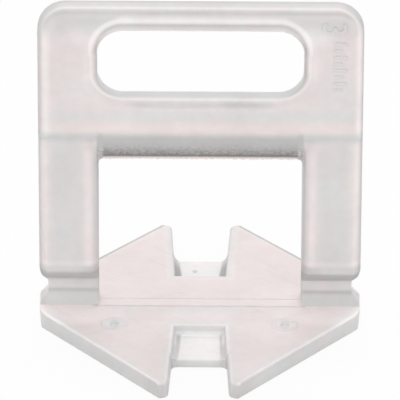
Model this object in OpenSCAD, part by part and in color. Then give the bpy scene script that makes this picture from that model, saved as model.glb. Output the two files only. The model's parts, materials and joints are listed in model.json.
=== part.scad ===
// Tile levelling clip, the break-off kind: a base plate that goes under two
// neighbouring tiles, and an upright frame whose legs stand in the joint.
// A wedge driven through the frame's window presses both tiles down on the
// base. Once the mortar has set, the frame is knocked off at its two necks.
// Moulded in one piece. Millimetres, +Z up, joint along X, origin under the
// middle of the base.

/* [Joint] */
// Thickness of the legs, which sets the width of the joint between two tiles
joint_gap = 3.0; // [2:0.1:4]

/* [Base plate] */
// Length of the base along the joint
base_w = 35.0; // [30:0.2:46]
// Depth of the base from prong tip to prong tip, before the tips are rounded
base_d = 39.8; // [34:0.2:46]
// Length of each end of the base, before its corners are rounded
end_flat = 5.4; // [5:0.2:9]
// Thickness of the base under the joint
base_t = 2.2; // [2:0.1:3.2]
// Fall of the top face from the joint out to the prong tips, for draft
base_fall = 0.4; // [0.2:0.05:0.8]
// Inward lean of the outer walls of the base towards the underside, in degrees
wall_draft = 6; // [2:0.5:9]
// Rounding of the corners at the ends of the base, seen from above
end_r = 4.6; // [1:0.2:5]
// Rounding of the prong tips, seen from above
tip_r = 0.9; // [0.4:0.05:1.2]

/* [Notches] */
// Depth of the solid bar left between the front and rear notches
bar_d = 11.6; // [9:0.2:15]
// Width of each notch beside the bar
notch_w = 5.5; // [4.4:0.1:6.6]
// Widening of each notch side towards its mouth, in degrees
notch_flare = 2.4; // [1:0.2:5]
// Length of the thin web that closes the inner end of each notch
web_l = 5.6; // [3:0.1:7]
// Thickness of the thin web
web_t = 0.9; // [0.6:0.05:1.2]
// Radius where the web runs up into the notch sides
web_fillet = 0.8; // [0.3:0.05:0.9]
// Radius at the ends of the free edge of the web, seen from above
web_corner_r = 0.75; // [0.3:0.05:0.9]

/* [Frame] */
// Width of the frame over both legs
frame_w = 35.0; // [30:0.2:45]
// Height of the whole clip
clip_h = 38.0; // [35:0.2:44]
// How far each face of the handle panel stands out past the legs
panel_proud = 0.3; // [0.15:0.05:0.6]
// Rounding of the frame's long edges
edge_round = 1.35; // [0.6:0.05:1.6]
// Radius of the two top corners, seen from the front
corner_r = 3.1; // [2:0.1:5]

/* [Handle slot] */
// Width of the finger slot
slot_w = 22.2; // [18:0.2:24]
// Height of the finger slot
slot_h = 7.9; // [5:0.2:9]
// Height of the bar above the finger slot
top_bar = 2.9; // [2.6:0.1:5]
// Corner radius of the finger slot
slot_r = 2.8; // [1.5:0.1:3.2]

/* [Wedge window] */
// Width of the window that the wedge passes through
window_w = 22.0; // [18:0.2:24]
// Height of the window from the base to the pressing edge
window_h = 17.35; // [14:0.2:18]
// Width of the blunt line along the pressing edge
press_flat = 0.24; // [0.1:0.02:0.6]
// Height of the sloped underside of the crossbar
bevel_h = 3.05; // [2.4:0.05:4]
// Radius in the upper corners of the window, along the pressing edge
window_r = 0.5; // [0.2:0.05:1]

/* [Snap-off necks] */
// Thickness of the web that breaks
neck_t = 1.2; // [0.6:0.05:1.6]
// Height of the web that breaks
neck_h = 1.4; // [0.6:0.1:2]
// Height of the foot under each web
foot_h = 1.3; // [0.8:0.05:2]
// How far the foot is set in from the outer side of the leg
foot_step = 0.06; // [0.04:0.01:0.3]
// How far the web is set in from the outer side of the leg
neck_inset = 0.95; // [0.5:0.05:2]
// Height of the taper from the faces of each leg down to its web
leg_taper = 1.35; // [1:0.05:2.5]
// Rounding where the faces of each leg turn into the taper, at most half the leg
taper_r = 1.25; // [0.5:0.05:1.9]
// Height of the chamfer at the outer lower corner of each leg
corner_taper = 1.15; // [0.6:0.05:2]
// Rounding of the outer lower corner of each leg
corner_taper_r = 1.0; // [0.3:0.1:1.5]

/* [Moulding marks] */
// Width of the low strip on the base between the legs
strip_w = 3.0; // [2:0.1:4]
// Height of the low strip
strip_h = 0.08; // [0.04:0.01:0.2]
// Width of the parting groove along the middle of the strip
parting_w = 0.18; // [0.1:0.02:0.3]
// Distance of the two ejector dimples from the middle, along the joint
dimple_x = 9.25; // [6:0.25:10]
// Distance of the two ejector dimples in front of the joint
dimple_y = 5.5; // [4:0.25:7]
// Width of each ejector dimple
dimple_d = 0.9; // [0.6:0.1:1.6]

/* [Hidden] */
$fn = 64;
eps = 0.5;
panel_t = joint_gap + 2 * panel_proud;
leg_w = (frame_w - window_w) / 2;
edge_r = min(edge_round, joint_gap / 2 - 0.1, top_bar / 2 - 0.1);

// Heights up the clip
press_z = base_t + window_h;
brow_z = press_z + bevel_h;
neck_z = base_t + foot_h;
taper_z = neck_z + neck_h;
slot_top = clip_h - top_bar;
slot_bottom = slot_top - slot_h;

// The brow curves from the panel face into the slope under the crossbar
bevel_angle = atan((joint_gap - press_flat) / 2 / bevel_h);
brow_r = panel_proud / (1 - cos(bevel_angle));
panel_z = brow_z + brow_r * sin(bevel_angle);

// The notches and prongs
web_end = bar_d / 2 + web_l;
notch_slope = tan(notch_flare);
mouth_x = notch_w / 2 + notch_slope * (base_d / 2 - bar_d / 2);
web_x = notch_w / 2 + notch_slope * web_l;
dimple_ball = 0.7 * dimple_d;

// Corner rounding
function unit(v) = v / norm(v);
function half_angle(a, b, c) = acos(unit(a - b) * unit(c - b)) / 2;
function tangent(b, to, r, h) = b + unit(to - b) * r / tan(h);
function arc_centre(a, b, c, r, h) = b + unit(unit(a - b) + unit(c - b)) * r / sin(h);

// A polygon with each corner rounded: a radius over 0 rounds an outer corner,
// one under 0 fills an inner corner, and 0 leaves the corner as it is.
module rounded_polygon(corners, radii) {
    n = len(corners);
    before = [for (i = [0 : n - 1]) corners[(i + n - 1) % n]];
    after = [for (i = [0 : n - 1]) corners[(i + 1) % n]];
    half = [for (i = [0 : n - 1]) half_angle(before[i], corners[i], after[i])];
    outline = [
        for (i = [0 : n - 1])
            each radii[i] == 0
                ? [corners[i]]
                : [
                    tangent(corners[i], before[i], abs(radii[i]), half[i]),
                    tangent(corners[i], after[i], abs(radii[i]), half[i])
                ]
    ];
    difference() {
        union() {
            polygon(outline);
            for (i = [0 : n - 1])
                if (radii[i] > 0)
                    translate(arc_centre(before[i], corners[i], after[i], radii[i], half[i]))
                        circle(radii[i]);
        }
        for (i = [0 : n - 1])
            if (radii[i] < 0)
                translate(arc_centre(before[i], corners[i], after[i], -radii[i], half[i]))
                    circle(-radii[i]);
    }
}

// A rectangle with four equal round corners
module rounded_rectangle(w, h, r) {
    rounded_polygon(
        [[w / 2, -h / 2], [w / 2, h / 2], [-w / 2, h / 2], [-w / 2, -h / 2]],
        [r, r, r, r]
    );
}

// Draws a profile given as [Y, Z] along X, centred
module along_x(length) {
    rotate([90, 0, 90])
        linear_extrude(length, center = true)
            children();
}

// Draws a profile given as [Y, Z] along X, from 0
module along_x_from(length) {
    rotate([90, 0, 90])
        linear_extrude(length)
            children();
}

// Draws an outline given as [X, Z] through the frame's thickness, centred
module through_y(thickness) {
    rotate([90, 0, 0])
        linear_extrude(thickness, center = true)
            children();
}

module both_sides() {
    children();
    mirror([1, 0, 0])
        children();
}

// Base plate, its top face falling away from the joint to both sides
module base() {
    difference() {
        intersection() {
            linear_extrude(2 * base_t)
                base_outline();
            along_x(2 * base_w)
                roof();
        }
        for (turn = [0, 1])
            mirror([0, turn, 0]) {
                notch_trough();
                both_sides()
                    wall_lean([mouth_x, base_d / 2], [base_w / 2, end_flat / 2]);
            }
        both_sides()
            wall_lean([base_w / 2, end_flat / 2], [base_w / 2, -end_flat / 2]);
    }
}

// Space outside the drafted wall that runs between two corners of the outline
module wall_lean(from, to) {
    run = to - from;
    translate([from.x, from.y, base_t])
        rotate([0, 0, atan2(run.y, run.x)])
            rotate([-wall_draft, 0, 0])
                translate([-base_w, 0, -base_w / 2])
                    cube([3 * base_w, base_w, base_w]);
}

module base_outline() {
    x = base_w / 2;
    y = end_flat / 2;
    tip = [mouth_x, base_d / 2];
    web = [web_x, web_end];
    rounded_polygon(
        [
            [x, -y], [x, y],
            tip, web, [-web.x, web.y], [-tip.x, tip.y],
            [-x, y], [-x, -y],
            -tip, -web, [web.x, -web.y], [tip.x, -tip.y]
        ],
        [
            end_r, end_r,
            tip_r, -web_corner_r, -web_corner_r, tip_r,
            end_r, end_r,
            tip_r, -web_corner_r, -web_corner_r, tip_r
        ]
    );
}

module roof() {
    y = base_d / 2;
    polygon([[-y, 0], [y, 0], [y, base_t - base_fall], [0, base_t], [-y, base_t - base_fall]]);
}

// Space over the web at the inner end of the rear notch
module notch_trough() {
    intersection() {
        both_sides()
            trough_side();
        translate([-notch_w, bar_d / 2, 0])
            cube([2 * notch_w, web_l + 2 * web_corner_r, 3 * base_t]);
    }
}

module trough_side() {
    x = notch_w / 2;
    translate([x, bar_d / 2, 0])
        rotate([90, 0, 180 - notch_flare])
            linear_extrude(4 * web_l, center = true)
                rounded_polygon(
                    [[0, web_t], [x + eps, web_t], [x + eps, 2 * base_t], [0, 2 * base_t]],
                    [web_fillet, 0, 0, 0]
                );
}

// Foot, web and leg on the right-hand side
module leg() {
    x = window_w / 2;
    intersection() {
        translate([x + leg_w / 2, 0, taper_z])
            linear_extrude(brow_z - taper_z)
                rounded_rectangle(leg_w, joint_gap, edge_r);
        along_x(2 * frame_w)
            leg_side();
        through_y(2 * joint_gap)
            leg_front();
    }
    translate([x, -neck_t / 2, neck_z])
        cube([leg_w - neck_inset, neck_t, neck_h]);
    foot();
}

// Leg seen from its side, tapering down to the web
module leg_side() {
    y = joint_gap / 2;
    r = min(taper_r, y - 0.05);
    rounded_polygon(
        [
            [neck_t / 2, taper_z], [y, taper_z + leg_taper], [y, brow_z + eps],
            [-y, brow_z + eps], [-y, taper_z + leg_taper], [-neck_t / 2, taper_z]
        ],
        [0, r, 0, 0, r, 0]
    );
}

// Leg seen from the front, its outer lower corner chamfered down to the web
module leg_front() {
    x = frame_w / 2;
    rounded_polygon(
        [
            [0, taper_z], [x - neck_inset, taper_z], [x, taper_z + corner_taper],
            [x, brow_z + eps], [0, brow_z + eps]
        ],
        [0, 0, corner_taper_r, 0, 0]
    );
}

// Foot on the base, sloping up to the web on three sides
module foot() {
    x = window_w / 2;
    y = joint_gap / 2;
    root = base_t - base_fall;
    foot_w = leg_w - foot_step;
    intersection() {
        translate([x, 0, 0])
            along_x_from(leg_w)
                polygon([
                    [-y, root], [y, root], [y, base_t],
                    [neck_t / 2, neck_z], [-neck_t / 2, neck_z], [-y, base_t]
                ]);
        through_y(2 * joint_gap)
            polygon([
                [x, 0], [x + foot_w, 0], [x + foot_w, base_t],
                [x + leg_w - neck_inset, neck_z], [x, neck_z]
            ]);
    }
}

// Crossbar: a brow over the full width, and the sloped underside between the legs
module crossbar() {
    intersection() {
        along_x(frame_w)
            intersection() {
                translate([panel_t / 2 - brow_r, panel_z])
                    circle(brow_r, $fn = 128);
                translate([brow_r - panel_t / 2, panel_z])
                    circle(brow_r, $fn = 128);
                translate([-panel_t, brow_z])
                    square([2 * panel_t, panel_z - brow_z]);
            }
        translate([0, 0, brow_z])
            linear_extrude(panel_z - brow_z)
                rounded_rectangle(frame_w, panel_t, edge_r);
    }
    along_x(window_w + 2 * edge_r)
        polygon([
            [-joint_gap / 2, brow_z],
            [-press_flat / 2, press_z],
            [press_flat / 2, press_z],
            [joint_gap / 2, brow_z]
        ]);
    both_sides()
        through_y(2 * press_flat)
            window_corner();
}

// Fills one upper corner of the window to a radius
module window_corner() {
    x = window_w / 2;
    difference() {
        translate([x - window_r, press_z - window_r])
            square([window_r + edge_r, window_r + press_flat]);
        translate([x - window_r, press_z - window_r])
            circle(window_r);
    }
}

// Handle panel: a flat core with a rolled rim round its outside and round the slot
module panel() {
    x = frame_w / 2;
    slot_z = (slot_top + slot_bottom) / 2;
    through_y(panel_t)
        difference() {
            rounded_polygon(
                [
                    [x - edge_r, panel_z], [x - edge_r, clip_h - edge_r],
                    [edge_r - x, clip_h - edge_r], [edge_r - x, panel_z]
                ],
                [0, corner_r - edge_r, corner_r - edge_r, 0]
            );
            translate([0, slot_z])
                rounded_rectangle(slot_w + 2 * edge_r, slot_h + 2 * edge_r, slot_r + edge_r);
        }
    rotate([90, 0, 0]) {
        outer_rim();
        translate([0, slot_z, 0])
            slot_rim();
    }
}

// Half of a rounded edge: full thickness at 0, rolled over at edge_r
module rim_section() {
    intersection() {
        rounded_rectangle(2 * edge_r, panel_t, edge_r - 0.001);
        translate([0, -panel_t])
            square([2 * edge_r, 2 * panel_t]);
    }
}

module rim_straight(length) {
    rotate([90, 0, 90])
        linear_extrude(length, center = true)
            rim_section();
}

module outer_rim() {
    x = frame_w / 2;
    side = clip_h - corner_r - panel_z;
    translate([0, clip_h - edge_r, 0])
        rim_straight(frame_w - 2 * corner_r);
    both_sides() {
        translate([x - edge_r, panel_z + side / 2, 0])
            rotate([0, 0, -90])
                rim_straight(side);
        translate([x - corner_r, clip_h - corner_r, 0])
            rotate_extrude(angle = 90)
                translate([corner_r - edge_r, 0])
                    rim_section();
    }
}

module slot_rim() {
    for (turn = [0, 180])
        rotate([0, 0, turn]) {
            translate([0, slot_h / 2 + edge_r, 0])
                rotate([0, 0, 180])
                    rim_straight(slot_w - 2 * slot_r);
            translate([slot_w / 2 + edge_r, 0, 0])
                rotate([0, 0, 90])
                    rim_straight(slot_h - 2 * slot_r);
            both_sides()
                translate([slot_w / 2 - slot_r, slot_h / 2 - slot_r, 0])
                    rotate_extrude(angle = 90)
                        translate([slot_r + edge_r, 0])
                            mirror([1, 0])
                                rim_section();
        }
}

// Low strip between the feet, which carries the parting line
module strip() {
    y = strip_w / 2;
    along_x(window_w + 1)
        polygon([
            [-y - 0.3, base_t - 0.4],
            [-y, base_t + strip_h],
            [-parting_w / 2, base_t + strip_h],
            [0, base_t + strip_h - parting_w / 2],
            [parting_w / 2, base_t + strip_h],
            [y, base_t + strip_h],
            [y + 0.3, base_t - 0.4]
        ]);
}

// Dimple left by an ejector pin on the front half of the base
module dimple() {
    roof_z = base_t - base_fall * dimple_y / (base_d / 2);
    depth = dimple_ball - sqrt(dimple_ball * dimple_ball - dimple_d * dimple_d / 4);
    translate([dimple_x, -dimple_y, roof_z + dimple_ball - depth])
        sphere(dimple_ball);
}

module levelling_clip() {
    color([0.90, 0.87, 0.86]) {
        difference() {
            base();
            both_sides()
                dimple();
        }
        strip();
        both_sides()
            leg();
        crossbar();
        panel();
    }
}

levelling_clip();
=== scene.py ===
"""Looks of a tile levelling clip: one moulding in milky natural plastic, on a white stage."""

import json
import math

import bmesh
import bpy
from bpy.props import (
    FloatProperty, FloatVectorProperty, IntProperty, PointerProperty, StringProperty)
from mathutils import Matrix, Vector

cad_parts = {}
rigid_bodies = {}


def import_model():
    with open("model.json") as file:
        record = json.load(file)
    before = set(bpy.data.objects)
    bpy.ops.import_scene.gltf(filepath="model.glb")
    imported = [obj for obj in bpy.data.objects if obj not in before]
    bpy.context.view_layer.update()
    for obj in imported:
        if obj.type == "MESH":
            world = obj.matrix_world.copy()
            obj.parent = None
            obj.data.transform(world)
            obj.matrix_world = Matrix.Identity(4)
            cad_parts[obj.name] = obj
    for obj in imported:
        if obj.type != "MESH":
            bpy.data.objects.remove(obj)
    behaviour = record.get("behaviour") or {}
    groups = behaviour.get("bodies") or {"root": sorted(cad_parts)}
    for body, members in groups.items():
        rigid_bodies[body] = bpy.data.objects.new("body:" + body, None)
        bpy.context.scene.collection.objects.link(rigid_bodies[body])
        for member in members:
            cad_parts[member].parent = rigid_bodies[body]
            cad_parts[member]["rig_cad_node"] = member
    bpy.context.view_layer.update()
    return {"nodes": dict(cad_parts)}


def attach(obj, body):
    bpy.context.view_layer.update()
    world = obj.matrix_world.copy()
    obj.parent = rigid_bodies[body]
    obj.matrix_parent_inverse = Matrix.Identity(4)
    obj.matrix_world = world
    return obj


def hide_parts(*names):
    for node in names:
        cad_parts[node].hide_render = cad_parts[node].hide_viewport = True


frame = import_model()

bl_info = {
    "name": "Tile levelling clip",
    "version": (1, 0, 0),
    "blender": (4, 5, 0),
    "location": "View3D > Sidebar > Clip",
    "description": "Builds the looks of a break-off tile levelling clip on its packed solids",
    "category": "Object",
}

CLIP = "levelling_clip"
BODY = "root"
MM = 0.001

# Places on the clip, in millimetres, as its source has them
WINDOW_HALF = 11.0
PRESS_Z = 19.55
BROW_Z = 22.6
PANEL_FACE_Y = -1.8
NECK_Z = 3.5
TAPER_Z = 4.9
BASE_T = 2.2
BAR_HALF = 5.8
WEB_END = 11.4
WEB_T = 0.9
DIMPLE = (9.25, -5.5)
ROOF_FALL = 0.4 / 19.9
FRAME_HALF, FRAME_TOP, FRAME_CORNER = 17.5, 38.0, 3.1
SLOT_HALF, SLOT_HALF_H, SLOT_CORNER, SLOT_Z = 11.1, 3.95, 2.8, 31.15
SLANT_X, SLANT_Y, SLANT_REACH = 0.7697, 0.6380, 15.18
NOTCH_HALF, NOTCH_SPLAY = 2.75, 0.0423
ROUND_Y = 0.45

# Rounding of the base, in millimetres: how far feet, notches, webs and dimples reach, the room that
# an edge needs, and what counts as touching
FEET_Y, TROUGH_HALF, DIMPLE_REACH = 2.0, 3.4, 0.8
TROUGH_PAST, WEB_BEFORE, WEB_AFTER, WEB_RIM_Z = 1.1, 0.8, 1.2, 1.5
RIM_CLEAR, FOOT_CLEAR, TOUCH = 0.45, 0.3, 0.004

# The upward part of a normal that counts as level, steep or upright, the bend between faces that
# counts as flat, and the distances in metres at which corners merge
LEVEL, STEEP, UPRIGHT = 0.97, 0.9, 0.45
FLAT = math.radians(0.6)
MERGE, SLIVER, SAME = 4e-6, 1e-6, 1e-7

# Small marks of the mould, in millimetres; shares and seeds of their ragged edges
FLASH_HALF, FLASH_ROOT, FLASH_THICK = 10.6, 0.1, 0.08
FLASH_STEPS, FLASH_ROWS, FLASH_FADE = 140, 3, 0.7
FLASH_RAGGED, FLASH_EVEN = ((3, 0.10), (11, 0.05)), 0.6
FLASH_LOW, FLASH_LIFT = 0.9, 0.6
NUMERAL_FIT, NUMERAL_BEVEL, NUMERAL_THIN = 1.38, 0.03, -0.02
TICK_LONG, TICK_SHORT, TICK_WIDE, TICK_STEP = 1.5, 1.0, 0.34, 0.78
TICK_INSET, TICK_SOFT = 1.2, 0.085
GATE_R, GATE_H, GATE_SOFT = 0.25, 0.1, 0.02
GATE_RAGGED, GATE_EVEN, GATE_SEED = 0.03, 0.7, 5
GATE_BREAK = ((0.06, 0.05), (0.08, -0.06))
RING_WIDE, RING_HIGH, RING_SUNK = 0.9, 0.06, 0.045

# Finish: the plain plastic, its overall lightness, and how light travels in it
PLAIN_TONE, PLAIN_BLUSH = 1.07, 0.62
LIGHTNESS = 1.006
RELIEF_DEPTH = 0.02
PLASTIC_IOR = 1.49
SCATTER_RGB = (1.0, 0.8, 0.75)

# Stage, in metres
FLOOR_SIZE, FLOOR_DROP = 4.0, 0.03 * MM
FLOOR_GREY, FLOOR_WHITE = 0.82, 0.93
LAMP_SIZE = 0.5
BACK_LAMP, FRONT_LAMP, LAMP_AIM = (0.0, 0.36, 0.52), (0.0, -0.6, 0.12), (0, 0, 0.015)
CEILING_FROM, CEILING_FULL = 0.5, 0.8
SENSOR_WIDTH = 36.0
CAMERA_NEAR, CAMERA_FAR = 0.01, 20.0
WHITE = (1, 1, 1, 1)


def roof_z(y):
    """Height of the base's top face at a depth y, in millimetres."""
    return BASE_T - ROOF_FALL * abs(y)


def by_dimple(point):
    """Whether a point, in millimetres, belongs to an ejector dimple."""
    return math.hypot(abs(point[0]) - DIMPLE[0], point[1] - DIMPLE[1]) < DIMPLE_REACH


# ---------------------------------------------------------------- settings


class ClipMouldingSettings(bpy.types.PropertyGroup):
    """Edge softness of the moulding."""

    rim_soft: FloatProperty(
        name="Rim softness", description="Rounding of the upper edges of the base",
        default=0.24 * MM, min=0, unit="LENGTH", precision=5)
    foot_soft: FloatProperty(
        name="Underside softness", description="Rounding of the lower edges of the base",
        default=0.12 * MM, min=0, unit="LENGTH", precision=5)
    small_soft: FloatProperty(
        name="Small edge softness", description="Rounding of the edges at necks, feet and notches",
        default=0.14 * MM, min=0, unit="LENGTH", precision=5)
    segments: IntProperty(
        name="Segments", description="Steps in each rounded edge", default=3, min=1, max=6)


class ClipMarkSettings(bpy.types.PropertyGroup):
    """Small marks of the mould."""

    gauge_text: StringProperty(
        name="Gauge numeral", description="Plain numeral of the joint width in millimetres",
        default="3")
    gauge_proud: FloatProperty(
        name="Gauge relief", description="How far the gauge mark stands out from the panel",
        default=0.09 * MM, min=0, unit="LENGTH", precision=5)
    gauge_place: FloatVectorProperty(
        name="Gauge place", description="Upper end of the gauge mark on the panel's front face",
        default=(13.05 * MM, PANEL_FACE_Y * MM, 36.85 * MM), size=3, unit="LENGTH", precision=5)
    gauge_height: FloatProperty(
        name="Gauge height", description="Height of the gauge numeral",
        default=2.7 * MM, min=0, unit="LENGTH", precision=5)
    tick_count: IntProperty(
        name="Ticks", description="Pairs of ticks in the row under the gauge numeral",
        default=4, min=1, max=8)
    flash_drop: FloatProperty(
        name="Flash", description="Depth of the thin flash along the pressing edge",
        default=0.11 * MM, min=0, unit="LENGTH", precision=5)
    gate_place: FloatVectorProperty(
        name="Gate place", description="Place of the gate vestige on the rear web",
        default=(-0.6 * MM, 9.0 * MM, WEB_T * MM), size=3, unit="LENGTH", precision=5)
    ring_radius: FloatProperty(
        name="Ejector ring", description="Radius of the witness ring round each ejector dimple",
        default=1.2 * MM, min=0, unit="LENGTH", precision=5)


class ClipFinishSettings(bpy.types.PropertyGroup):
    """Finish of the plastic."""

    # The blush and grey colours hold painted light: blush where light would shine through thin
    # plastic, grey where thick plastic lets less through
    blush: FloatVectorProperty(
        name="Blush plastic", description="Colour of the plastic where light shines through it",
        default=(0.800, 0.716, 0.706), size=3, subtype="COLOR")
    grey: FloatVectorProperty(
        name="Grey plastic", description="Colour of the plastic where it is thick",
        default=(0.743, 0.738, 0.736), size=3, subtype="COLOR")
    # Colour of the painted shade, grained with noise, at the foot of the slopes by the pressing
    # edge
    singe: FloatVectorProperty(
        name="Shaded edge", description="Colour of the grained line along the pressing edge",
        default=(0.235, 0.215, 0.200), size=3, subtype="COLOR")
    clouding: FloatProperty(
        name="Clouding", description="How much the plastic varies from place to place",
        default=0.16, min=0, max=1, subtype="FACTOR")
    roughness: FloatProperty(
        name="Roughness", description="Mean roughness of the surface",
        default=0.42, min=0, max=1, subtype="FACTOR")
    milkiness: FloatProperty(
        name="Milkiness", description="Share of light that scatters inside the plastic",
        default=0.35, min=0, max=1, subtype="FACTOR")
    scatter: FloatProperty(
        name="Scatter depth", description="How far light travels inside the plastic",
        default=0.6 * MM, min=0, unit="LENGTH", precision=5)


class ClipStageSettings(bpy.types.PropertyGroup):
    """Floor, light and camera."""

    ambient: FloatProperty(
        name="Ambient", description="Strength of the even light from all round",
        default=0.90, min=0)
    ceiling: FloatProperty(
        name="Ceiling", description="How bright the room overhead looks in reflections",
        default=0.25, min=0, max=1, subtype="FACTOR")
    back_power: FloatProperty(
        name="Back lamp", description="Power of the large lamp behind and above",
        default=1.0, min=0, unit="POWER")
    front_power: FloatProperty(
        name="Front lamp", description="Power of the large lamp low in front",
        default=0.3, min=0, unit="POWER")
    elevation: FloatProperty(
        name="Camera elevation", description="Height of the camera's view above the horizon",
        default=math.radians(27.292), subtype="ANGLE")
    yaw: FloatProperty(
        name="Camera yaw", description="Turn of the camera round the clip",
        default=math.radians(0.345), subtype="ANGLE")
    roll: FloatProperty(
        name="Camera roll", description="Turn of the picture",
        default=math.radians(0.193), subtype="ANGLE")
    distance: FloatProperty(
        name="Camera distance", description="Distance from the camera to the clip",
        default=0.7, min=0, unit="LENGTH")
    target: FloatVectorProperty(
        name="Camera target", description="Point in the middle of the picture",
        default=(-0.024 * MM, 0, 14.431 * MM), size=3, unit="LENGTH", precision=5)
    lens: FloatProperty(
        name="Lens", description="Focal length in millimetres", default=580.8, min=1)


# ---------------------------------------------------------------- shader maths


def feed(tree, socket, value):
    """Links a field to a socket, or sets the socket to a plain value."""
    if isinstance(value, Field):
        tree.links.new(value.socket, socket)
    else:
        socket.default_value = value


class Field:
    """A value over a surface: a socket whose sums add Math nodes."""

    def __init__(self, socket):
        self.socket = socket

    def maths(self, operation, *terms):
        tree = self.socket.id_data
        node = tree.nodes.new("ShaderNodeMath")
        node.operation = operation
        for socket, term in zip(node.inputs, terms):
            feed(tree, socket, term)
        return Field(node.outputs[0])

    def __add__(self, other):
        return self.maths("ADD", self, other)

    def __radd__(self, other):
        return self.maths("ADD", other, self)

    def __sub__(self, other):
        return self.maths("SUBTRACT", self, other)

    def __rsub__(self, other):
        return self.maths("SUBTRACT", other, self)

    def __mul__(self, other):
        return self.maths("MULTIPLY", self, other)

    def __rmul__(self, other):
        return self.maths("MULTIPLY", other, self)

    def __abs__(self):
        return self.maths("ABSOLUTE", self)

    def __pow__(self, other):
        return self.maths("POWER", self, other)

    def above(self, other):
        return self.maths("MAXIMUM", self, other)

    def below(self, other):
        return self.maths("MINIMUM", self, other)


class Recipe:
    """The nodes of one finish. add() makes any node that isn't plain maths."""

    def __init__(self, owner):
        owner.use_nodes = True
        self.tree = owner.node_tree
        self.tree.nodes.clear()

    def add(self, kind, settings=None, sockets=None, out=0):
        """Makes a node, sets it up, feeds its sockets and gives the output or outputs asked for."""
        node = self.tree.nodes.new(kind)
        for name, value in (settings or {}).items():
            setattr(node, name, value)
        for name, value in (sockets or {}).items():
            feed(self.tree, node.inputs[name], value)
        if isinstance(out, tuple):
            return [Field(node.outputs[name]) for name in out]
        return Field(node.outputs[out]) if len(node.outputs) else node

    def mix(self, share, one, other):
        """one where share is 0, other where it is 1; both are colours."""
        return self.add("ShaderNodeMix", {"data_type": "RGBA"}, {0: share, 6: one, 7: other}, 2)

    def blend(self, share, one, other):
        """one where share is 0, other where it is 1; both are numbers."""
        return self.add("ShaderNodeMix", {"data_type": "FLOAT"}, {0: share, 2: one, 3: other})

    def step(self, field, low, high):
        """0 below low, 1 above high, and smooth in between."""
        return self.add(
            "ShaderNodeMapRange", {"interpolation_type": "SMOOTHSTEP"},
            {"Value": field, "From Min": low, "From Max": high})

    def band(self, field, low, high, soft):
        """1 between low and high, falling off over soft on either side."""
        begun = self.step(field, low - soft, low + soft)
        return begun * (1 - self.step(field, high - soft, high + soft))

    def peak(self, field, middle, half):
        """1 at middle, falling to 0 at half on either side."""
        return 1 - self.step(abs(field - middle), 0.0, half)

    def inside(self, x, z, half_x, half_z, corner):
        """Distance into a rounded rectangle about the middle, negative outside it."""
        x, z = abs(x) - (half_x - corner), abs(z) - (half_z - corner)
        round_part = (x.above(0.0) ** 2.0 + z.above(0.0) ** 2.0) ** 0.5
        return corner - round_part - x.above(z).below(0.0)

    def upward(self, x, z):
        """How steeply a direction points up: 1 straight up, 0 level, -1 straight down."""
        return z * (x ** 2.0 + z ** 2.0 + 0.0001) ** -0.5

    def noise(self, place, scale, detail=2.0, roughness=0.5):
        return self.add(
            "ShaderNodeTexNoise", {"noise_dimensions": "3D"},
            {"Vector": place, "Scale": scale, "Detail": detail, "Roughness": roughness})

    def turned(self, place, stretch, turn=(0, 0, 0)):
        """A place turned and then drawn out, for a pattern that runs one way."""
        return self.add(
            "ShaderNodeMapping", {"vector_type": "TEXTURE"},
            {"Vector": place, "Rotation": turn, "Scale": stretch})

    def streaks(self, place, stretch, degrees, scale, low, high):
        """Lines that run one way: 1 on a line, 0 between them."""
        run = self.turned(place, stretch, (0, 0, math.radians(degrees)))
        return self.step(self.noise(run, scale), low, high)


def rgba(colour):
    return (*colour, 1.0)


# ---------------------------------------------------------------- finish


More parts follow.
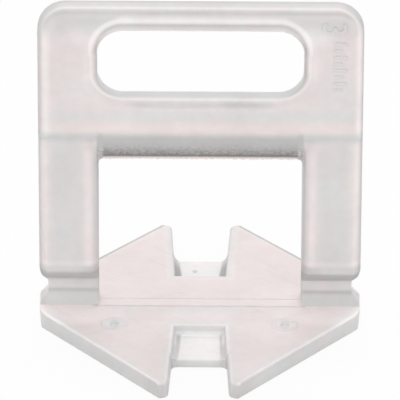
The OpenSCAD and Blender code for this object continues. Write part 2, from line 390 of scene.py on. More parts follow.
class Surface:
    """Places on the clip's surface, in millimetres, and its parts, as shares from 0 to 1."""

    def __init__(self, r):
        self.r = r
        place = r.add("ShaderNodeTexCoord", out="Object")
        self.mm = r.add("ShaderNodeVectorMath", {"operation": "SCALE"}, {0: place, "Scale": 1 / MM})
        self.x, self.y, self.z = r.add("ShaderNodeSeparateXYZ", None, {0: self.mm}, ("X", "Y", "Z"))
        self.across, self.deep = abs(self.x), abs(self.y)
        self.left = 1 - r.step(self.x, -6.0, 6.0)
        self.behind = r.step(self.y, 2.0, 5.0)
        self.ahead = 1 - self.behind
        self.grain = r.noise(self.mm, 2.6, 4.0, 0.75)
        # Blotches that make the painted shade under the slot and under the top edge uneven
        blotch = r.noise(r.turned(self.mm, (6.0, 3.0, 1.6)), 1.0, 1.0)
        self.shade_blotch = 0.5 + 0.5 * r.step(blotch, 0.40, 0.60)
        self.find_base()
        self.find_notches()
        self.find_frame()
        self.find_slot()
        self.find_pressing_edge()

    def find_base(self):
        """roof is the height over the base's top; slant, bay and edge run in from its sides."""
        r, across, deep = self.r, self.across, self.deep
        self.roof = self.z + ROOF_FALL * deep - BASE_T
        self.slant = SLANT_REACH - (SLANT_X * across + SLANT_Y * deep)
        self.notch = across - (NOTCH_HALF + NOTCH_SPLAY * (deep - BAR_HALF))
        self.bay = self.notch.above(BAR_HALF - deep)
        self.edge = self.slant.below(self.bay)
        between_feet = 1 - r.step(across, WINDOW_HALF, WINDOW_HALF + 0.3)
        strip = between_feet * (1 - r.step(self.z, 2.5, 2.8))
        self.base = (1 - r.step(self.roof, 0.02, 0.08)).above(strip)
        self.top = self.base * r.step(self.roof, -0.28, -0.06)

    def find_notches(self):
        """The notches' walls, the webs that close their inner ends, and the flanks of the webs."""
        r, deep = self.r, self.deep
        on_web = 1 - r.step(deep, WEB_END - 0.15, WEB_END + 0.1)
        narrow = 1 - r.step(self.across, TROUGH_HALF, TROUGH_HALF + 0.3)
        self.off_bar = r.step(deep, BAR_HALF + 0.12, BAR_HALF + 0.3)
        self.trough = (
            self.base * (1 - self.top) * r.step(deep, BAR_HALF - 0.3, BAR_HALF - 0.1) * narrow)
        self.web = self.trough * (1 - r.step(self.z, WEB_T - 0.04, WEB_T + 0.25)) * on_web
        self.flank = (
            self.trough * on_web * r.step(self.notch, -0.85, -0.5) * self.ahead * self.off_bar)

    def find_frame(self):
        """rim runs in from the outline, wrap round its rolled edge, and inner out of the window."""
        r, across, z = self.r, self.across, self.z
        self.rim = r.inside(self.x, z, FRAME_HALF, FRAME_TOP, FRAME_CORNER)
        self.wrap = self.rim + self.deep - ROUND_Y + 0.3 * (1 - r.step(z, 22.4, 23.4))
        self.crown = r.upward(
            (across - (FRAME_HALF - FRAME_CORNER)).above(0.0),
            (z - (FRAME_TOP - FRAME_CORNER)).above(0.0))
        self.window = 1 - r.step(across, WINDOW_HALF - 0.05, WINDOW_HALF + 0.3)
        self.beside = 1 - self.window
        self.inner = across - WINDOW_HALF
        self.legs = 1 - r.step(z, 22.0, 24.0)
        self.leg_end = z - 0.14 * self.left
        self.full = r.step(z, 5.6, 6.6)
        self.leg_inner = self.full * (1 - r.step(z, 20.5, 21.5)) * r.step(self.inner, -0.1, 0.0)
        self.foot = r.step(self.roof, 0.08, 0.2) * (1 - r.step(z, 6.2, 6.8))

    def find_slot(self):
        """lip runs out of the slot, lap round its edge; over and under say how the edge faces."""
        r, rise = self.r, self.z - SLOT_Z
        straight = SLOT_HALF_H - SLOT_CORNER
        self.lip = 0 - r.inside(self.x, rise, SLOT_HALF, SLOT_HALF_H, SLOT_CORNER)
        self.lap = self.lip + self.deep - ROUND_Y
        facing = r.upward(
            (self.across - (SLOT_HALF - SLOT_CORNER)).above(0.0),
            (rise - straight).above(0.0) + (rise + straight).below(0.0))
        self.over, self.under = facing.above(0.0), facing.below(0.0)
        self.slot_edge = (1 - r.step(self.lip, 2.2, 2.6)) * r.step(self.z, 25.0, 25.6)

    def find_pressing_edge(self):
        """nose runs up from the pressing edge, across the slopes under the crossbar."""
        r, z = self.r, self.z
        self.nose = 0.89 * (z - PRESS_Z) - 0.46 * self.deep
        ragged = self.nose + 0.16 * (self.grain - 0.5)
        pressing = self.window * r.step(z, 19.0, 19.1) * (1 - r.step(z, BROW_Z - 0.1, BROW_Z + 1.1))
        self.flash = pressing * (1 - r.step(ragged, 0.12, 0.2))
        self.slope = pressing * (1 - self.flash)
        self.cheek = r.step(self.across, WINDOW_HALF - 0.65, WINDOW_HALF - 0.3) * pressing


# Zones of the finish, mostly painted light and shade: a share, how pale it is there and how blush,
# each laid over the last.


def panel_zones(s):
    """Painted light and shade on the legs and the handle."""
    r, z = s.r, s.z
    shade_under_slot = s.shade_blotch * s.slot_edge * (0 - s.under) * r.peak(s.lap, 1.55, 0.9)
    slot_wall = (
        (1 - r.step(s.deep, 0.75, 1.15)) * (1 - r.step(s.lip, 0.35, 0.6))
        * r.step(z, 26.0, 26.6) * (1 - r.step(z, 36.0, 36.4)))
    return (
        # Thick middle of the legs, painted grey where thick plastic lets less light through
        (r.band(z, 6.9, 22.2, 0.8) * r.band(s.across, 12.75, 16.2, 0.75), 1.0, 0.14),
        # Panel, blushed by painted light shining through it, with painted shade towards the top and
        # a greyer strip low down
        (r.step(z, 23.4, 24.4), 1.06, 0.62),
        (r.step(z, 33.6, 36.6) * (1 - r.step(s.rim, 2.4, 3.4) * 0.3), 0.96, 0.25),
        (r.band(z, 24.95, 26.0, 0.45) * r.step(s.rim, 0.2, 1.4), 1.04, 0.25),
        # Painted shade in blotches under the slot
        (shade_under_slot * (1 - r.step(s.across, 5.5, 9.5)), 0.88, 0.1),
        # Brow: a painted highlight line, and a line of painted shade where it runs into the legs
        (r.peak(z, 24.0, 0.8), 1.09, 1.0),
        (r.peak(z, 22.7, 1.05) * s.beside, 0.91, 0.0),
        # Painted shade on the slot's walls, darker where they face down
        (slot_wall, 0.95 + 0.13 * s.under, 0.0),
    )


def pressing_zones(s):
    """Painted shade on the slopes under the crossbar, paler upwards, painted light through the thin
    flash along them, and painted shade on the cheeks at their ends.
    """
    r = s.r
    lift = 0.14 * r.step(s.nose, 0.4, 1.25) + 0.19 * r.step(s.z, PRESS_Z + 0.2, BROW_Z)
    return (
        (s.slope, 0.45 + lift, 0.0),
        (s.flash, r.blend(r.step(s.nose, -0.02, 0.12), 1.15, 0.72), 0.9),
        (s.cheek, 0.78, 0.0),
    )


def leg_zones(s):
    """Painted light and shade on the legs' inner edges, and from their ends down the taper, the
    neck and the foot: paler inner edges, painted shade on the taper, darker neck and foot.
    """
    r, end = s.r, s.leg_end
    return (
        (s.leg_inner * (1 - r.step(s.inner, 0.3, 0.6)), 1.03, 0.15),
        (r.band(s.z, 6.2, 6.95, 0.25) * s.beside, 0.955, 0.1),
        (r.band(end, 5.0, 6.15, 0.3), 0.70, 0.0),
        (1 - r.step(end, TAPER_Z - 0.15, TAPER_Z + 0.1), 0.985, 0.1),
        (1 - r.step(end, NECK_Z - 0.25, NECK_Z + 0.15), 0.94, 0.0),
    )


def base_zones(s):
    """The base's sides, its roof and its notches, in painted light and shade: greyer sides, a roof
    and webs blushed and paled by painted light shining through, a shaded band before the frame.
    """
    r, y = s.r, s.y
    inland = 0.4 + 0.6 * r.step(s.edge, 0.4, 1.5)
    return (
        (s.base, r.blend(r.step(s.deep, 15.5, 18.0), 0.955, 0.885), 0.05),
        (s.top, 0.97, r.blend(r.step(y, -6.0, 8.0), 0.86, 1.12) * inland),
        (s.top * r.band(y, -2.9, -1.7, 0.6) * (1 - r.step(s.across, 8.0, 11.0)), 0.93, 0.4),
        (s.trough, 1.06, 0.12),
        (s.web, r.blend(r.step(y, -6.0, 6.0), 1.19, 1.12), 0.2),
        (s.flank, 0.94, 0.05),
    )


# Lines of painted highlight and painted shade: a share, and how much paler or darker it is there.


def frame_lines(s):
    """The frame's outline: painted shade along the edge with a painted glow beside it, shifted by
    how the edge faces.
    """
    r, wrap, crown, left, legs = s.r, s.wrap, s.crown, s.left, s.legs
    side = s.full * (1 - crown)
    glow = r.peak((wrap - 1.75 + 1.15 * crown) * (1 + crown), 0.0, 0.75) * (1 + 0.6 * crown)
    dark = 1 - r.step((wrap - 1.0 + 0.6 * crown) * (1 + crown), -0.85, 0.1)
    lit_top = 1 - 0.5 * crown * (1 - r.step(s.y, -0.1, 0.5))
    return (
        (s.full * glow, 0.085),
        (s.full * dark * lit_top, -0.22),
        # Sides: the painted shade along the edge is wider on the legs and on the handle's left
        (side * (1 - r.step(wrap - 0.4 * legs - 0.7 * left * (1 - legs), 0.3, 1.1)), -0.17),
        (side * (1 - legs) * r.peak(wrap - 0.85 * left, 1.45, 0.7), 0.1),
        (side * legs * left * r.peak(wrap, 1.6, 0.6), -0.05),
        # Painted shade in a line under the top edge, and painted highlights beside the slot's upper
        # corners
        (s.shade_blotch * crown * r.peak(wrap, 1.4, 0.55), -0.12),
        (r.band(s.across, 11.2, 14.0, 1.0) * r.band(s.z, 34.0, 36.0, 0.9), 0.1),
    )


def slot_lines(s):
    """Painted highlight and painted shade along the slot's rolled edge, shifted by how it faces."""
    r, lap, over, under = s.r, s.lap, s.over, s.under
    end = s.slot_edge * (1 - over ** 3.0) * (1 + under) ** 4.0
    glow = r.peak(lap - 1.27 * over - 1.25 * under, 1.75, 0.5) * (1 + 1.2 * over - 0.4 * under)
    dark = r.peak((lap - 0.6 - 1.88 * over) * (1 + 0.6 * over), 0.0, 0.6) * (1 + under)
    return (
        (s.slot_edge * glow, 0.13),
        (s.slot_edge * dark * (1 - 0.4 * over), -0.22),
        # Painted highlight on the upper edge and painted shade at the upper corners
        (s.slot_edge * over ** 3.0 * r.peak(lap, 0.9, 1.2), 0.3),
        (s.slot_edge * over * (1 - over) * r.peak(lap, 1.1, 0.8), -0.5),
        # Painted shade and a faint painted highlight on the round ends, the right one darker
        (end * r.peak(lap, 1.0, 0.6) * (1.5 - s.left), -0.12),
        (end * r.peak(lap, 2.4, 0.8), 0.05),
    )


def leg_lines(s):
    """Painted highlights and painted shade along the legs' inner edges, and at the edges of tapers,
    necks and feet.
    """
    r, z, inner, end = s.r, s.z, s.inner, s.leg_end
    return (
        (s.leg_inner * r.step(z, 6.6, 7.8) * r.peak(inner, 1.05, 0.75), 0.08),
        (s.leg_inner * (1 - r.step(inner, 0.15, 0.55)), -0.15),
        # Painted shade and a painted highlight at the start of the taper
        (r.band(z, 5.9, 7.0, 0.3) * s.beside * (1 - r.step(inner, 1.2, 2.6)), -0.07),
        (r.peak(z, 7.4, 0.45) * s.beside, 0.05),
        # Painted shade at the ends of taper and neck
        (r.peak(end, TAPER_Z + 0.1, 0.45) * s.beside, -0.12),
        (r.peak(end, NECK_Z + 0.04, 0.4) * s.beside, -0.19),
        # Painted shade at the inner and outer ends of the foot
        (s.foot * r.peak(inner, 0.0, 0.3), -0.16),
        (s.foot * r.step(s.across, 16.5, 17.1), -0.09),
    )


def base_lines(s):
    """Painted highlights on the rims of the roof in front and painted shade on them behind, and
    painted light and shade by the feet.
    """
    r, y, top, across = s.r, s.y, s.top, s.across
    return (
        (top * r.peak(s.slant, 0.18, 0.38) * s.ahead, 0.15),
        (top * r.peak(s.bay, 0.18, 0.38) * s.ahead, 0.09),
        (top * r.peak(s.edge, 0.75, 0.5) * s.behind, 0.03),
        (top * (1 - r.step(s.slant, 0.34, 0.6)) * s.behind, -0.30),
        (top * (1 - r.step(s.edge, 0.1, 0.3)) * s.behind, -0.12),
        # Roof in front: painted light outwards and by the feet, painted shade between them
        (top * r.step(across, 3.5, 9.0) * s.ahead, 0.03),
        (top * (1 - r.step(abs(y + 2.8), 1.4, 3.8)) * r.step(across, 9.5, 13.0), 0.19),
        (top * r.band(y, -5.0, -2.6, 0.8) * r.band(across, 3.5, 8.5, 1.0), -0.05),
    )


def notch_lines(s):
    """Painted shade on the walls of the notches, and painted light in their corners and at the foot
    of their front walls.
    """
    r, z, deep = s.r, s.z, s.deep
    rear_wall = r.step(s.notch - 0.07 * (deep - 6.0), -1.05, -0.75) * s.behind
    prong_side = (1 - r.step(s.notch, 0.1, 0.32)) * r.step(deep, WEB_END + 0.1, WEB_END + 0.6)
    bar_wall = s.trough * s.ahead * (1 - s.off_bar)
    return (
        (s.trough * rear_wall * (1 - 0.6 * r.step(deep, 9.0, 11.5)), -0.44),
        (s.base * prong_side * s.ahead, -0.2),
        (bar_wall * (1 - r.step(z, 1.25, 1.5)), 0.2),
        (s.web * s.ahead * (1 - r.step(deep, 6.0, 8.0)), 0.09),
        (s.flank * (1 - r.step(z, 1.0, 1.35)) * (1 - r.step(deep, 7.5, 9.5)), 0.25),
    )


def natural_plastic(finish):
    """Milky unpigmented plastic with painted light and shade: blush painted where light shines
    through it, grey where it is thick, and painted highlights and shade along edges and in hollows.
    """
    made = bpy.data.materials.get("natural_plastic_finish")
    if made:
        return made
    made = bpy.data.materials.new("natural_plastic_finish")
    r = Recipe(made)
    s = Surface(r)

    tone, blush = PLAIN_TONE, PLAIN_BLUSH
    zones = (*panel_zones(s), *pressing_zones(s), *leg_zones(s), *base_zones(s))
    for share, tone_here, blush_here in zones:
        tone = r.blend(share, tone, tone_here)
        blush = r.blend(share, blush, blush_here)
    lines = (*frame_lines(s), *slot_lines(s), *leg_lines(s), *base_lines(s), *notch_lines(s))
    for share, amount in lines:
        tone = tone * (1 + amount * share)

    # Ejector marks: painted shade in the dimple, paler in its middle, with a painted highlight on
    # the ring round it
    spot = ((s.across - DIMPLE[0]) ** 2.0 + (0.65 * (s.y - DIMPLE[1])) ** 2.0) ** 0.5
    ring, well, middle = r.peak(spot, 1.0, 0.6), r.peak(spot, 0.42, 0.22), r.peak(spot, 0.0, 0.3)
    tone = tone * (1 + s.base * (0.05 * ring - 0.13 * well + 0.06 * middle))
    blush = blush * (1 - s.base * (1 - r.step(spot, 0.4, 0.8)))

    # Clouding of the melt, flow lines, handling scratches and the grain of the slopes
    cloud = r.noise(s.mm, 0.17, 2.0, 0.55)
    patch = r.noise(r.turned(s.mm, (1.0, 1.0, 1.0), (0.4, 0.2, 0.9)), 0.23)
    mottle = r.noise(s.mm, 0.9, 4.0, 0.6)
    flow = r.streaks(s.mm, (9.0, 1.2, 2.0), 24, 0.9, 0.58, 0.72)
    scuff = r.streaks(s.mm, (6.0, 0.26, 1.0), -46, 0.8, 0.645, 0.70)
    uneven = finish.clouding * (cloud - 0.5) + 0.12 * (mottle - 0.5)
    uneven = uneven - 0.02 * flow - 0.04 * scuff * s.top
    coarse = r.blend(r.step(s.z, PRESS_Z + 0.5, BROW_Z - 0.6), 2.0, 0.05)
    tone = tone * (LIGHTNESS + uneven) * (1 + s.slope * (s.grain - 0.5) * coarse)
    blush = (blush + 1.1 * (patch - 0.5)).above(-0.1)

    colour = r.mix(blush, rgba(finish.grey), rgba(finish.blush))
    colour = r.add("ShaderNodeVectorMath", {"operation": "SCALE"}, {0: colour, "Scale": tone})
    # Painted shade, near black and grained, at the foot of the slopes by the pressing edge
    slope_foot_shade = s.slope * (1 - s.cheek) * (1 - r.step(s.nose + 0.5 * (s.grain - 0.5), 0.22, 0.52))
    colour = r.mix(slope_foot_shade * 0.9, colour, rgba(finish.singe))

    peel = r.noise(s.mm, 7.0)
    relief = 0.35 * peel + 0.5 * mottle + 0.25 * flow + 0.3 * scuff + s.slope * s.grain * 2.0
    rough = finish.roughness + 0.10 * (mottle - 0.5) + 0.12 * s.slope + 0.05 * flow
    bump = r.add("ShaderNodeBump", None, {
        "Strength": 0.5, "Distance": RELIEF_DEPTH * MM, "Height": relief})
    shader = r.add("ShaderNodeBsdfPrincipled", {"subsurface_method": "RANDOM_WALK"}, {
        "Base Color": colour,
        "Roughness": rough,
        "IOR": PLASTIC_IOR,
        "Subsurface Weight": finish.milkiness,
        "Subsurface Radius": SCATTER_RGB,
        "Subsurface Scale": finish.scatter,
        "Normal": bump,
    })
    r.add("ShaderNodeOutputMaterial", None, {"Surface": shader})
    return made


# ---------------------------------------------------------------- modelling helpers


def only(piece):
    """Leaves one object selected and active."""
    bpy.ops.object.select_all(action="DESELECT")
    piece.select_set(True)
    bpy.context.view_layer.objects.active = piece
    return piece


def edit(piece, pick=None, of="FACE"):
    """Opens a piece for editing with what pick chooses selected, or all of it."""
    only(piece)
    parts = {"FACE": "polygons", "EDGE": "edges", "VERT": "vertices"}
    bpy.ops.object.mode_set(mode="EDIT")
    bpy.ops.mesh.select_mode(type=of)
    bpy.ops.mesh.select_all(action="SELECT" if pick is None else "DESELECT")
    if pick:
        bpy.ops.object.mode_set(mode="OBJECT")
        for part in getattr(piece.data, parts[of]):
            part.select = pick(part)
        bpy.ops.object.mode_set(mode="EDIT")


def done():
    bpy.ops.object.mode_set(mode="OBJECT")


def named(name):
    """Names the object that was just added, and its mesh."""
    piece = bpy.context.view_layer.objects.active
    piece.name = piece.data.name = name
    return piece


def modify(piece, kind, **settings):
    """Adds a modifier and applies it."""
    only(piece)
    modifier = piece.modifiers.new(kind.title(), kind)
    for name, value in settings.items():
        setattr(modifier, name, value)
    bpy.ops.object.modifier_apply(modifier=modifier.name)


def place(piece):
    """Puts the object's place, turn and scale into its mesh."""
    only(piece)
    bpy.ops.object.transform_apply(location=True, rotation=True, scale=True)


def seat(piece, context, angle=30):
    """Smooths a finished piece, gives it its finish, and lets it ride on the clip."""
    only(piece)
    bpy.ops.object.shade_smooth_by_angle(angle=math.radians(angle))
    piece.data.materials.clear()
    piece.data.materials.append(natural_plastic(context.scene.clip_finish))
    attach(piece, BODY)


# ---------------------------------------------------------------- pieces


def edge_soft(sizes, ends, normals):
    """Rounding of a convex edge of the moulding by its place, in metres; 0 leaves it sharp."""
    ends = [end / MM for end in ends]
    x, y = (min(abs(end[axis]) for end in ends) for axis in (0, 1))
    low, high = sorted(normal.z for normal in normals)
    if y < FEET_Y:
        return 0.0
    if all(end.z < TOUCH for end in ends) and low < -LEVEL and high < STEEP:
        at_web_end = x < TROUGH_HALF and WEB_END - WEB_BEFORE < y < WEB_END + WEB_AFTER
        return 0.0 if at_web_end else sizes.foot_soft
    on_roof = all(abs(roof_z(end.y) - end.z) < TOUCH for end in ends)
    if on_roof and not all(map(by_dimple, ends)) and high > LEVEL and low < STEEP:
        return sizes.rim_soft
    if max(end.z for end in ends) < WEB_RIM_Z and high > LEVEL and abs(low) < UPRIGHT:
        return sizes.small_soft
    return 0.0


class CLIP_OT_moulding(bpy.types.Operator):
    """Copy the clip's solid, merge it and round its edges as a mould leaves them"""

    bl_idname = "clip.moulding"
    bl_label = "Moulding"

    def execute(self, context):
        sizes = context.scene.clip_moulding
        only(frame["nodes"][CLIP])
        bpy.ops.object.duplicate()
        piece = named("clip_moulding")
        del piece["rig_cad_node"]
        edit(piece, of="VERT")
        bpy.ops.mesh.remove_doubles(threshold=MERGE)
        bpy.ops.mesh.dissolve_degenerate(threshold=MERGE)
        bpy.ops.mesh.select_all(action="SELECT")
        bpy.ops.mesh.dissolve_limited(angle_limit=FLAT)
        done()
        self.clear_rims(piece)
        self.weigh(piece, sizes)
        modify(
            piece, "BEVEL", limit_method="WEIGHT", width=self.widest(sizes), offset_type="OFFSET",
            segments=sizes.segments, use_clamp_overlap=False, loop_slide=False)
        seat(piece, context)
        modify(piece, "WEIGHTED_NORMAL", keep_sharp=True)
        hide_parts(CLIP)
        return {"FINISHED"}

    @staticmethod
    def widest(sizes):
        return max(sizes.rim_soft, sizes.foot_soft, sizes.small_soft)

    @staticmethod
    def clear_rims(piece):
        """Draws wall corners that crowd an edge of the base into it, so that it can be rounded."""
        shape = bmesh.new()
        shape.from_mesh(piece.data)

        def rank(vert):
            """0 on an edge of the base, 1 too close to it, 2 elsewhere."""
            x, y, z = vert.co / MM
            gap = roof_z(y) - z
            in_trough = abs(x) < TROUGH_HALF and abs(y) < WEB_END + TROUGH_PAST
            if abs(y) < FEET_Y or in_trough or by_dimple((x, y)):
                return 2
            if abs(gap) < TOUCH or z < TOUCH:
                return 0
            return 1 if 0 < gap < RIM_CLEAR or z < FOOT_CLEAR else 2

        while True:
            short = [edge for edge in shape.edges if sorted(map(rank, edge.verts)) == [0, 1]]
            if not short:
                break
            nearest = min(short, key=lambda edge: edge.calc_length())
            kept = min(nearest.verts, key=rank)
            bmesh.ops.pointmerge(shape, verts=list(nearest.verts), merge_co=kept.co)
        bmesh.ops.dissolve_degenerate(shape, edges=shape.edges, dist=SLIVER)
        shape.to_mesh(piece.data)
        shape.free()

    def weigh(self, piece, sizes):
        """Writes each edge's rounding as its bevel weight."""
        shape = bmesh.new()
        shape.from_mesh(piece.data)
        weights = piece.data.attributes.new("bevel_weight_edge", "FLOAT", "EDGE")
        for edge in shape.edges:
            if not edge.is_manifold:
                raise RuntimeError("the moulding isn't closed")
            if edge.is_convex:
                ends = [vert.co for vert in edge.verts]
                normals = [face.normal for face in edge.link_faces]
                soft = edge_soft(sizes, ends, normals)
                weights.data[edge.index].value = soft / self.widest(sizes)
        shape.free()


class CLIP_OT_press_edge_flash(bpy.types.Operator):
    """Hang a thin ragged flash along the pressing edge"""

    bl_idname = "clip.press_edge_flash"
    bl_label = "Pressing edge flash"

    def execute(self, context):
        drop = context.scene.clip_marks.flash_drop
        tall = drop + FLASH_ROOT * MM
        bpy.ops.object.select_all(action="DESELECT")
        bpy.ops.mesh.primitive_grid_add(
            x_subdivisions=FLASH_STEPS, y_subdivisions=FLASH_ROWS, size=2 * MM,
            rotation=(math.pi / 2, 0, 0),
            location=(0, 0, PRESS_Z * MM + FLASH_ROOT * MM - tall / 2))
        piece = named("press_edge_flash")
        piece.scale = (FLASH_HALF, tall / (2 * MM), 1)
        place(piece)
        low = PRESS_Z * MM - FLASH_LOW * drop
        for seed, reach in FLASH_RAGGED:
            edit(piece, lambda vert: vert.co.z < low, "VERT")
            bpy.ops.transform.vertex_random(offset=reach * MM, uniform=FLASH_EVEN, seed=seed)
            done()
        fade = (FLASH_HALF - FLASH_FADE) * MM
        edit(piece, lambda vert: abs(vert.co.x) > fade and vert.co.z < low, "VERT")
        bpy.ops.transform.translate(value=(0, 0, FLASH_LIFT * drop))
        done()
        modify(piece, "SOLIDIFY", thickness=FLASH_THICK * MM, offset=0)
        seat(piece, context)
        return {"FINISHED"}


class CLIP_OT_gauge_mark(bpy.types.Operator):
    """Raise a plain gauge numeral and its row of ticks on the panel"""

    bl_idname = "clip.gauge_mark"
    bl_label = "Gauge mark"

    def execute(self, context):
        marks = context.scene.clip_marks
        piece = self.numeral(marks)
        ticks = self.ticks(marks)
        only(piece)
        ticks.select_set(True)
        bpy.ops.object.join()
        piece = named("gauge_mark")
        edit(piece)
        bpy.ops.mesh.remove_doubles(threshold=SAME)
        bpy.ops.mesh.normals_make_consistent(inside=False)
        done()
        seat(piece, context)
        return {"FINISHED"}

    @staticmethod
    def numeral(marks):
        """The numeral, read with the head tilted to the right, as on the panel."""
        bpy.ops.object.select_all(action="DESELECT")
        bpy.ops.object.text_add()
        text = named("gauge_numeral")
        text.data.body = marks.gauge_text
        text.data.size = marks.gauge_height * NUMERAL_FIT
        text.data.extrude = marks.gauge_proud
        text.data.bevel_depth = NUMERAL_BEVEL * MM
        text.data.bevel_resolution = 2
        text.data.offset = NUMERAL_THIN * MM
        bpy.ops.object.convert(target="MESH")
        text = named("gauge_numeral")
        down, right, front = Vector((0, 0, -1)), Vector((1, 0, 0)), Vector((0, -1, 0))
        turn = Matrix((down, right, front)).transposed().to_4x4()
        text.matrix_world = Matrix.Translation(Vector(marks.gauge_place)) @ turn
        place(text)
        return text

    @staticmethod
    def ticks(marks):
        """A long and a short tick, repeated down the panel."""
        step = TICK_STEP * MM
        first = Vector(marks.gauge_place) - Vector((0, 0, marks.gauge_height))
        pair = []
        for number, long in enumerate((TICK_LONG, TICK_SHORT)):
            bpy.ops.object.select_all(action="DESELECT")
            bpy.ops.mesh.primitive_cube_add(size=1, location=(
                first.x + (TICK_INSET + long / 2) * MM, first.y, first.z - number * step))
            tick = named(f"gauge_tick_{number}")
            tick.scale = (long * MM, 2 * marks.gauge_proud, TICK_WIDE * MM)
            place(tick)
            modify(tick, "BEVEL", width=TICK_SOFT * MM, segments=3, limit_method="ANGLE")
            pair.append(tick)
        only(pair[0])
        pair[1].select_set(True)
        bpy.ops.object.join()
        ticks = named("gauge_ticks")
        modify(
            ticks, "ARRAY", count=marks.tick_count, use_relative_offset=False,
            use_constant_offset=True, constant_offset_displace=(0, 0, -2 * step))
        return ticks


class CLIP_OT_gate_vestige(bpy.types.Operator):
    """Leave the broken stub of the gate on the rear web"""

    bl_idname = "clip.gate_vestige"
    bl_label = "Gate vestige"

    def execute(self, context):
        spot = Vector(context.scene.clip_marks.gate_place)
        bpy.ops.object.select_all(action="DESELECT")
        bpy.ops.mesh.primitive_cylinder_add(
            vertices=20, radius=GATE_R * MM, depth=2 * GATE_H * MM, location=spot)
        piece = named("gate_vestige")
        place(piece)
        edit(piece, lambda face: face.normal.z > STEEP)
        for inset, lift in GATE_BREAK:
            bpy.ops.mesh.inset(thickness=inset * MM)
            bpy.ops.transform.translate(value=(0, 0, lift * MM))
        done()
        edit(piece, lambda vert: vert.co.z > spot.z + GATE_H / 2 * MM, "VERT")
        bpy.ops.transform.vertex_random(
            offset=GATE_RAGGED * MM, uniform=GATE_EVEN, seed=GATE_SEED)
        done()
        modify(
            piece, "BEVEL", width=GATE_SOFT * MM, segments=2, limit_method="ANGLE",
            angle_limit=math.radians(40))
        seat(piece, context, 50)
        return {"FINISHED"}


class CLIP_OT_ejector_rings(bpy.types.Operator):
    """Raise the faint witness ring round each ejector dimple"""

    bl_idname = "clip.ejector_rings"
    bl_label = "Ejector rings"

    def execute(self, context):
        radius = context.scene.clip_marks.ring_radius
        x, y = DIMPLE
        bpy.ops.object.select_all(action="DESELECT")
        bpy.ops.mesh.primitive_torus_add(
            major_radius=radius, minor_radius=RING_WIDE / 2 * MM,
            major_segments=64, minor_segments=12,
            location=(-x * MM, y * MM, (roof_z(y) - RING_SUNK) * MM),
            rotation=(math.atan(ROOF_FALL), 0, 0))
        left = named("ejector_ring_left")
        left.scale = (1, 1, 2 * RING_HIGH / RING_WIDE)
        place(left)
        bpy.ops.object.duplicate()
        right = named("ejector_ring_right")
        right.location.x = 2 * x * MM
        place(right)
        for ring in (left, right):
            seat(ring, context, 60)
        return {"FINISHED"}


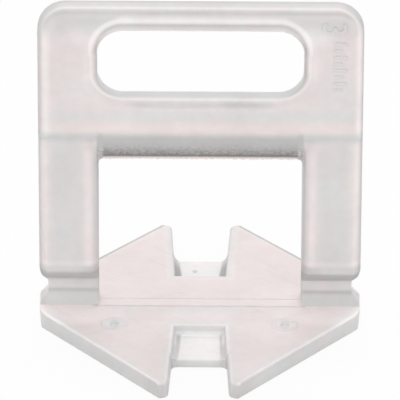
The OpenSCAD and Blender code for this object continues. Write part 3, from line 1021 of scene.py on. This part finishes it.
class CLIP_OT_stage(bpy.types.Operator):
    """Set the floor, the soft light and the camera"""

    bl_idname = "clip.stage"
    bl_label = "Stage"

    def execute(self, context):
        stage = context.scene.clip_stage
        self.floor()
        self.world(context.scene, stage)
        self.lamp("back_lamp", stage.back_power, BACK_LAMP)
        self.lamp("front_lamp", stage.front_power, FRONT_LAMP)
        self.camera(context.scene, stage)
        context.scene.view_settings.view_transform = "Standard"
        return {"FINISHED"}

    def floor(self):
        """A floor that looks white and still takes the clip's shadow."""
        bpy.ops.object.select_all(action="DESELECT")
        bpy.ops.mesh.primitive_plane_add(size=FLOOR_SIZE, location=(0, 0, -FLOOR_DROP))
        floor = named("floor")
        place(floor)
        paper = bpy.data.materials.new("white_floor")
        r = Recipe(paper)
        seen = self.seen(r)
        matt = r.add("ShaderNodeBsdfDiffuse", None, {"Color": rgba([FLOOR_GREY] * 3)})
        white = r.add("ShaderNodeEmission", None, {"Color": WHITE, "Strength": 1.0})
        both = r.add("ShaderNodeMixShader", None, {0: seen * FLOOR_WHITE, 1: matt, 2: white})
        r.add("ShaderNodeOutputMaterial", None, {"Surface": both})
        floor.data.materials.append(paper)

    @staticmethod
    def seen(r):
        """1 for the rays that show the background: straight, mirrored or through the plastic."""
        camera, glossy, through = r.add(
            "ShaderNodeLightPath", out=("Is Camera Ray", "Is Glossy Ray", "Is Transmission Ray"))
        return camera.above(glossy).above(through)

    def world(self, scene, stage):
        """Even light from all round, on a white room with a darker ceiling in reflections."""
        scene.world = bpy.data.worlds.new("soft_room")
        r = Recipe(scene.world)
        around, white, overhead = (
            r.add("ShaderNodeBackground", None, {"Color": WHITE, "Strength": strength})
            for strength in (stage.ambient, 1.0, stage.ceiling))
        way = r.add("ShaderNodeTexCoord", out="Generated")
        up = r.add("ShaderNodeSeparateXYZ", None, {0: way}, "Z")
        mirrored = r.add("ShaderNodeLightPath", out="Is Glossy Ray")
        ceiling = mirrored * r.step(up, CEILING_FROM, CEILING_FULL)
        room = r.add("ShaderNodeMixShader", None, {0: ceiling, 1: white, 2: overhead})
        both = r.add("ShaderNodeMixShader", None, {0: self.seen(r), 1: around, 2: room})
        r.add("ShaderNodeOutputWorld", None, {"Surface": both})

    def lamp(self, name, power, where):
        """A large square lamp that looks at the clip."""
        bpy.ops.object.light_add(type="AREA", location=where)
        lamp = bpy.context.view_layer.objects.active
        lamp.name = lamp.data.name = name
        lamp.data.energy = power
        lamp.data.size = LAMP_SIZE
        aim = Vector(LAMP_AIM) - Vector(where)
        lamp.rotation_euler = aim.to_track_quat("-Z", "Y").to_euler()

    def camera(self, scene, stage):
        """The camera at the photo's angle."""
        rise, turn = stage.elevation, stage.yaw
        level = math.cos(rise)
        back = Vector((math.sin(turn) * level, -math.cos(turn) * level, math.sin(rise)))
        bpy.ops.object.camera_add()
        camera = bpy.context.view_layer.objects.active
        camera.name = camera.data.name = "photo_camera"
        camera.matrix_world = (
            Matrix.Translation(Vector(stage.target) + back * stage.distance)
            @ Matrix.Rotation(turn, 4, "Z")
            @ Matrix.Rotation(math.pi / 2 - rise, 4, "X")
            @ Matrix.Rotation(stage.roll, 4, "Z"))
        camera.data.lens = stage.lens
        camera.data.sensor_width = SENSOR_WIDTH
        camera.data.clip_start, camera.data.clip_end = CAMERA_NEAR, CAMERA_FAR
        scene.camera = camera


class CLIP_PT_panel(bpy.types.Panel):
    """Lists the pieces of the clip and what can be changed"""

    bl_idname = "CLIP_PT_panel"
    bl_label = "Tile levelling clip"
    bl_space_type = "VIEW_3D"
    bl_region_type = "UI"
    bl_category = "Clip"

    def draw(self, context):
        for operator in OPERATORS:
            self.layout.operator(operator.bl_idname)
        for group in SETTINGS:
            settings = getattr(context.scene, group)
            for name in settings.__annotations__:
                self.layout.prop(settings, name)


SETTINGS = {
    "clip_moulding": ClipMouldingSettings,
    "clip_marks": ClipMarkSettings,
    "clip_finish": ClipFinishSettings,
    "clip_stage": ClipStageSettings,
}
OPERATORS = (
    CLIP_OT_moulding, CLIP_OT_press_edge_flash, CLIP_OT_gauge_mark, CLIP_OT_gate_vestige,
    CLIP_OT_ejector_rings, CLIP_OT_stage)
CLASSES = (*SETTINGS.values(), *OPERATORS, CLIP_PT_panel)


def register():
    for made in CLASSES:
        bpy.utils.register_class(made)
    for name, group in SETTINGS.items():
        setattr(bpy.types.Scene, name, PointerProperty(type=group))


def unregister():
    for name in SETTINGS:
        delattr(bpy.types.Scene, name)
    for made in reversed(CLASSES):
        bpy.utils.unregister_class(made)


def main():
    """Builds the clip and its stage."""
    register()
    bpy.ops.clip.moulding()
    bpy.ops.clip.press_edge_flash()
    bpy.ops.clip.gauge_mark()
    bpy.ops.clip.gate_vestige()
    bpy.ops.clip.ejector_rings()
    bpy.ops.clip.stage()


if __name__ == "__main__":
    main()
